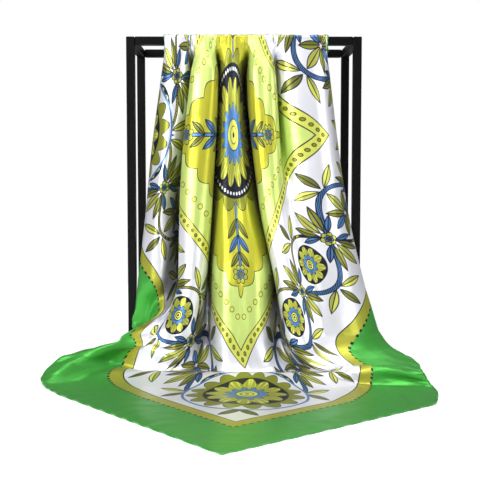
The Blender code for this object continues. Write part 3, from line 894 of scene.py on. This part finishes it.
    def whole(self, a, b):
        """Colour of the print at the flat places a and b, mm from the middle."""
        out = abs(a).most(abs(b))
        along = abs(a).least(abs(b))
        scallop = out - (abs((along * (math.pi / SCALLOP_PITCH)).sine()) * SCALLOP_RISE + HEART_EDGE)
        self.white_field(out, along)
        for edge, name in ((FIELD_EDGE - out, "band"), (BAND_EDGE - out, "border"),
                           (out - RIBBON_EDGE, "straw"), (out - LIME_EDGE, "lime")):
            self.fill(edge, name)
        for place, *row in BEAD_ROWS:
            self.beads(along, out - place, *row)
        self.fill(scallop, "heart")
        self.heart(a, b, out, along)
        ruled = abs(out - FIELD_EDGE).least(abs(out - RIBBON_EDGE)).least(abs(out - LIME_EDGE))
        self.draw(ruled.least(abs(scallop)))
        dash = (along * (2 * math.pi / DASH_PITCH)).sine()
        self.wash((out - BAND_EDGE).line(DASH_WIDTH) * dash.inside(), "outline")
        return self.colour


# ---- settings ----
def colour_setting(name, description, *rgb):
    """A colour that a user may change."""
    return bpy.props.FloatVectorProperty(
        name=name, description=description, subtype="COLOR", size=4, min=0.0, max=1.0,
        default=ink(*rgb))


class ScarfSettings(bpy.types.PropertyGroup):
    """Sizes and inks of the scarf."""

    wall: bpy.props.FloatProperty(
        name="Wall", description="Thickness of the cloth", default=0.7 * MM, min=0.0001,
        unit="LENGTH")
    border: colour_setting("Border", "Ink of the outer border", 74, 166, 70)
    band: colour_setting("Band", "Ink of the outer band", 172, 172, 66)
    lime: colour_setting("Lime", "Ink of the inner band", 208, 228, 130)
    heart: colour_setting("Heart", "Ink of the square's middle", 190, 188, 62)
    field: colour_setting("Field", "Unprinted satin", 232, 232, 240)
    straw: colour_setting("Straw", "Light yellow ink", 220, 224, 104)
    leaf: colour_setting("Leaf", "Olive ink of leaves and petals", 142, 146, 56)
    stem: colour_setting("Stem", "Blue ink of stems", 84, 130, 190)
    outline: colour_setting("Outline", "Dark ink of the drawing", 40, 42, 52)
    hem: colour_setting("Hem", "Thread and edge of the hem", 30, 110, 42)


class StandSettings(bpy.types.PropertyGroup):
    """Finish of the stand."""

    coat: colour_setting("Coat", "Black coat of the stand", 14, 14, 15)
    # colour of the tubes' edges: partly rubbed wear, partly a painted highlight along them
    worn_and_highlight: colour_setting("Worn", "Where the coat is rubbed", 88, 88, 90)


class StageSettings(bpy.types.PropertyGroup):
    """Floor, lights and camera."""

    floor: colour_setting("Floor", "Pale floor", 246, 246, 247)
    floor_glow: bpy.props.FloatProperty(
        name="Floor glow", description="Light of the floor itself, as of a lit table",
        default=0.38, min=0.0)
    room_light: bpy.props.FloatProperty(
        name="Room light", description="Even light of the room on the cloth", default=0.14, min=0.0)
    backdrop_light: bpy.props.FloatProperty(
        name="Backdrop light", description="Brightness of the pale backdrop", default=1.0, min=0.0)
    camera_place: bpy.props.FloatVectorProperty(
        name="Camera", description="Where the camera stands", subtype="TRANSLATION",
        unit="LENGTH", default=(0.0043, -1.0741, 0.2372))
    camera_down: bpy.props.FloatProperty(
        name="Down", description="How far the camera looks down", subtype="ANGLE",
        default=math.radians(4.206))
    camera_right: bpy.props.FloatProperty(
        name="Right", description="How far the camera looks to the right", subtype="ANGLE",
        default=math.radians(0.27))
    lens: bpy.props.FloatProperty(
        name="Lens", description="Focal length", default=74.81, unit="CAMERA")


# ---- the pieces ----
def satin_finish(name, inks):
    """Printed satin: the drawing, a paler reverse, long ripples, the weave and a soft gloss."""
    cloth = Finish(name, tuple(inks.field), SATIN)
    flat = cloth.add("ShaderNodeUVMap", {"uv_map": FLAT_MAP})
    split = cloth.add("ShaderNodeSeparateXYZ", {}, {"Vector": flat})
    a = (split - 0.5) * SCARF_SIDE
    b = (split.also("Y") - 0.5) * SCARF_SIDE
    reverse = cloth.add("ShaderNodeAttribute", {"attribute_name": REVERSE}, output="Fac")
    colour = cloth.paint(Print(cloth, inks).whole(a, b), reverse * REVERSE_PALE, REVERSE_TONE)
    ripples = []
    for first, second in RIPPLES:
        waves = {"X": (a + b) * first, "Y": (a - b) * second}
        ripples.append(cloth.noise(cloth.add("ShaderNodeCombineXYZ", {}, waves), 1.0))
    facing = cloth.bump(ripples[0] + ripples[1], *RIPPLE_BUMP)
    weave = ((a + b * WEAVE_LEAN) * (2 * math.pi / WEAVE_PITCH)).sine()
    facing = cloth.bump(weave, *WEAVE_BUMP, facing)
    least, more = SATIN_ROUGH
    rough = cloth.noise(flat, SATIN_CLOUDS, 3.0) * more + least
    cloth.feed({"Base Color": colour, "Roughness": rough, "Normal": facing})
    return cloth.material


def hem_path(pitch):
    """Flat places along the square's four sides, one pair of lists for each side."""
    corners = ((0, -HALF), (HALF, 0), (0, HALF), (-HALF, 0))
    sides = []
    for start, end in zip(corners, corners[1:] + corners[:1]):
        step = np.linspace(0, 1, round(SCARF_SIDE / pitch) + 1)
        sides.append([first + (last - first) * step for first, last in zip(start, end)])
    return sides


def hem_frame(s, t):
    """Place of the cloth's edge, and the directions inward, along it and out of its face."""
    here = drape(s, t)
    inward = drape(s * HEM_INSIDE, t * HEM_INSIDE) - here
    along = np.gradient(here, axis=0)
    facing = np.cross(along, inward)
    inward, along, facing = (way / np.linalg.norm(way, axis=1)[:, None]
                             for way in (inward, along, facing))
    return here + facing * relief(s, t)[:, None], inward, along, facing


def rolled_edge(pitch, wall):
    """Points and faces of four oval tubes, one along each side."""
    places, faces = [], []
    for s, t in hem_path(pitch):
        here, inward, along, facing = hem_frame(s, t)
        middle = here + inward * (HEM_WIDTH / 2 - HEM_PROUD) - facing * (wall / 2)
        ring = []
        for side in range(HEM_SIDES):
            angle = 2 * math.pi * side / HEM_SIDES
            ring.append(middle + inward * (HEM_WIDTH / 2 * math.cos(angle))
                        + facing * (HEM_THICK / 2 * math.sin(angle)))
        first = sum(len(part) for part in places)
        last = first + (len(s) - 1) * HEM_SIDES
        places.append(np.stack(ring, 1).reshape(-1, 3))
        for near in range(first, last, HEM_SIDES):
            for side in range(HEM_SIDES):
                beside = (side + 1) % HEM_SIDES
                faces.append((near + side, near + beside, near + beside + HEM_SIDES,
                              near + side + HEM_SIDES))
        faces.append(tuple(first + side for side in reversed(range(HEM_SIDES))))
        faces.append(tuple(last + side for side in range(HEM_SIDES)))
    return np.concatenate(places), faces


def stitches(pitch):
    """Points and faces of the short stitches beside the rolled edge."""
    signs = [(x, y, z) for z in (-1, 1) for y in (-1, 1) for x in (-1, 1)]
    box = ((0, 2, 3, 1), (4, 5, 7, 6), (0, 1, 5, 4), (2, 6, 7, 3), (0, 4, 6, 2), (1, 3, 7, 5))
    places = []
    for s, t in hem_path(pitch):
        here, inward, along, facing = (part[2:-2] for part in hem_frame(s, t))
        middle = here + inward * (HEM_WIDTH + STITCH_THICK / 2)
        corners = [middle + along * (x * STITCH_LONG / 2) + inward * (y * STITCH_THICK / 2)
                   + facing * (z * STITCH_THICK / 2) for x, y, z in signs]
        places.append(np.stack(corners, 1).reshape(-1, 3))
    places = np.concatenate(places)
    faces = [tuple(first + corner for corner in face)
             for first in range(0, len(places), 8) for face in box]
    return places, faces


def thread_finish(name, settings):
    """Dyed thread and rolled satin: two greens in fine strands."""
    thread = Finish(name, tuple(settings.hem), THREAD)
    where = thread.add("ShaderNodeTexCoord", output="Object")
    shade = thread.noise(where, THREAD_STRANDS)
    colour = thread.paint(tuple(settings.hem), shade, tuple(settings.border))
    least, more = THREAD_ROUGH
    thread.feed({"Base Color": colour, "Roughness": shade * more + least,
                 "Normal": thread.bump(shade, *THREAD_BUMP)})
    return thread.material


class SCARF_OT_cloth(bpy.types.Operator):
    """Drape the printed square over the stand's rails"""

    bl_idname = "scarf.cloth"
    bl_label = "Drape the cloth"

    def execute(self, context):
        settings = context.scene.scarf_settings
        grid, faces = flat_grid(half_diagonal_steps(1.0))
        s, t = grid.T
        plain = drape(s, t)
        outer = creased(s, t, plain, outward(plain, faces))
        inner = outer - outward(outer, faces) * settings.wall / MM
        inner[:, 2] = np.maximum(inner[:, 2], FLOOR_GAP)
        count = len(outer)
        back = [[corner + count for corner in reversed(face)] for face in faces]
        edges = dict.fromkeys(edge for face in faces for edge in zip(face, face[1:] + face[:1]))
        rim = [(second, first, first + count, second + count)
               for first, second in edges if (second, first) not in edges]
        piece = new_piece("scarf_satin", np.concatenate((outer, inner)), faces + back + rim)
        mesh = piece.data
        side = np.zeros(2 * count, np.float32)
        side[count:] = 1.0
        mesh.attributes.new(REVERSE, "FLOAT", "POINT").data.foreach_set("value", side)
        corners = np.empty(len(mesh.loops), int)
        mesh.loops.foreach_get("vertex_index", corners)
        flat = np.tile(flat_places(s, t), (2, 1))[corners].astype(np.float32)
        mesh.uv_layers.new(name=FLAT_MAP).uv.foreach_set("vector", flat.ravel())
        mesh.materials.append(satin_finish("printed_satin", settings))
        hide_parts(*CLOTH_SOLIDS)
        return {"FINISHED"}


class SCARF_OT_hem(bpy.types.Operator):
    """Roll and stitch the hem along the square's four sides"""

    bl_idname = "scarf.hem"
    bl_label = "Roll the hem"

    def execute(self, context):
        settings = context.scene.scarf_settings
        coarser = 1.0
        made = (("scarf_hem", rolled_edge(HEM_STEP * coarser, settings.wall / MM)),
                ("scarf_stitches", stitches(STITCH_PITCH * coarser)))
        finish = thread_finish("hem_thread", settings)
        for name, (places, faces) in made:
            places[:, 2] = np.maximum(places[:, 2], FLOOR_GAP)
            piece = new_piece(name, places, faces)
            piece.data.materials.append(finish)
        return {"FINISHED"}


def coat_finish(name, low, high, long_axis, settings):
    """Black coat on one tube: fine grain, and edges painted a little brighter, partly rubbed wear and
    partly a painted highlight.
    """
    coat = Finish(name, tuple(settings.coat), COAT)
    where = coat.add("ShaderNodeTexCoord", output="Object")
    split = coat.add("ShaderNodeSeparateXYZ", {}, {"Vector": where})
    middle = (low + high) / 2
    to_faces = [high[axis] - middle[axis] - abs(split.also(letter) - middle[axis])
                for axis, letter in enumerate("XYZ") if letter != long_axis]
    to_edge = to_faces[0].most(to_faces[1])
    cloud = coat.noise(where, COAT_CLOUDS, 3.0)
    # brighter edges: partly rubbed wear, partly a painted highlight
    rubbed_and_lit = (to_edge + cloud * EDGE_WEAR_AND_HIGHLIGHT_WANDER - EDGE_WEAR_AND_HIGHLIGHT_WIDTH).inside(EDGE_WEAR_AND_HIGHLIGHT_SOFT)
    colour = coat.paint(tuple(settings.coat), rubbed_and_lit * EDGE_WEAR_AND_HIGHLIGHT_SHARE, tuple(settings.worn_and_highlight))
    facing = coat.bump(coat.noise(where, COAT_GRAIN, 3.0), *COAT_BUMP)
    least, more = COAT_ROUGH
    coat.feed({"Base Color": colour, "Roughness": cloud * more + least, "Normal": facing})
    return coat.material


class SCARF_OT_stand_coat(bpy.types.Operator):
    """Give the stand's tubes their black coat"""

    bl_idname = "scarf.stand_coat"
    bl_label = "Coat the stand"

    def execute(self, context):
        settings = context.scene.scarf_stand
        for names, long_axis in ((POSTS, "Z"), (RAILS_ACROSS, "X"), (RAILS_ALONG, "Y")):
            for name in names:
                low, high = (Vector(corner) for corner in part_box(name))
                finish = coat_finish("coat_" + name, low, high, long_axis, settings)
                for slot in bpy.data.objects[name].material_slots:
                    slot.material = finish
        return {"FINISHED"}


def soft_light(name, place, size, power):
    """An oblong soft light that looks at the scarf's middle."""
    lamp = bpy.data.lights.new(name, "AREA")
    lamp.shape = "RECTANGLE"
    lamp.size, lamp.size_y = size
    lamp.energy = power
    light = bpy.data.objects.new(name, lamp)
    light.location = place
    look = Vector(LIGHTS_AIM) - Vector(place)
    light.rotation_euler = look.to_track_quat("-Z", "Y").to_euler()
    bpy.context.scene.collection.objects.link(light)


class SCARF_OT_stage(bpy.types.Operator):
    """Set the pale floor, the soft lights and the camera"""

    bl_idname = "scarf.stage"
    bl_label = "Set the stage"

    def execute(self, context):
        settings = context.scene.scarf_stage
        bpy.ops.object.select_all(action="DESELECT")
        bpy.ops.mesh.primitive_circle_add(
            vertices=FLOOR_SIDES, radius=FLOOR_RADIUS, fill_type="NGON")
        floor = context.object
        floor.name = "pale_floor"
        paper = Finish("pale_paper", tuple(settings.floor), {
            "Roughness": PAPER_ROUGH, "Emission Color": tuple(settings.floor),
            "Emission Strength": settings.floor_glow})
        where = paper.add("ShaderNodeTexCoord", output="Object")
        paper.feed({"Normal": paper.bump(paper.noise(where, PAPER_GRAIN), *PAPER_BUMP)})
        floor.data.materials.append(paper.material)
        world = bpy.data.worlds.new("pale_room")
        context.scene.world = world
        world.use_nodes = True
        nodes, links = world.node_tree.nodes, world.node_tree.links
        sky = nodes["Background"]
        sky.inputs["Color"].default_value = (1.0, 1.0, 1.0, 1.0)
        seen = nodes.new("ShaderNodeLightPath")
        strength = nodes.new("ShaderNodeMapRange")
        strength.inputs["To Min"].default_value = settings.room_light
        strength.inputs["To Max"].default_value = settings.backdrop_light
        links.new(seen.outputs["Is Camera Ray"], strength.inputs["Value"])
        links.new(strength.outputs["Result"], sky.inputs["Strength"])
        for softbox in SOFTBOXES:
            soft_light(*softbox)
        lens = bpy.data.cameras.new("photo_camera")
        lens.lens = settings.lens
        lens.sensor_width = SENSOR_WIDTH
        camera = bpy.data.objects.new("photo_camera", lens)
        camera.location = settings.camera_place
        camera.rotation_euler = (math.pi / 2 - settings.camera_down, 0.0, -settings.camera_right)
        context.scene.collection.objects.link(camera)
        context.scene.camera = camera
        context.scene.view_settings.view_transform = "Standard"
        return {"FINISHED"}


class SCARF_PT_panel(bpy.types.Panel):
    """The scarf's pieces and settings"""

    bl_label = "Scarf on a stand"
    bl_idname = "SCARF_PT_panel"
    bl_space_type = "VIEW_3D"
    bl_region_type = "UI"
    bl_category = "Scarf"

    def draw(self, context):
        rows = self.layout.column()
        for settings in (context.scene.scarf_settings, context.scene.scarf_stand,
                         context.scene.scarf_stage):
            for name in settings.bl_rna.properties.keys():
                if name not in ("rna_type", "name"):
                    rows.prop(settings, name)
        for operator in OPERATORS:
            rows.operator(operator.bl_idname)


SETTINGS = (("scarf_settings", ScarfSettings), ("scarf_stand", StandSettings),
            ("scarf_stage", StageSettings))
OPERATORS = (SCARF_OT_cloth, SCARF_OT_hem, SCARF_OT_stand_coat, SCARF_OT_stage)


def register():
    """Add the settings, the operators and the panel."""
    for name, group in SETTINGS:
        bpy.utils.register_class(group)
        setattr(bpy.types.Scene, name, bpy.props.PointerProperty(type=group))
    for kind in OPERATORS + (SCARF_PT_panel,):
        bpy.utils.register_class(kind)


def unregister():
    """Take them away again."""
    for kind in reversed(OPERATORS + (SCARF_PT_panel,)):
        bpy.utils.unregister_class(kind)
    for name, group in reversed(SETTINGS):
        delattr(bpy.types.Scene, name)
        bpy.utils.unregister_class(group)


def main():
    """Dress the frame: set the stage, drape the cloth, roll the hem and coat the stand."""
    register()
    bpy.ops.scarf.stage()
    bpy.ops.scarf.cloth()
    bpy.ops.scarf.hem()
    bpy.ops.scarf.stand_coat()


if __name__ == "__main__":
    main()
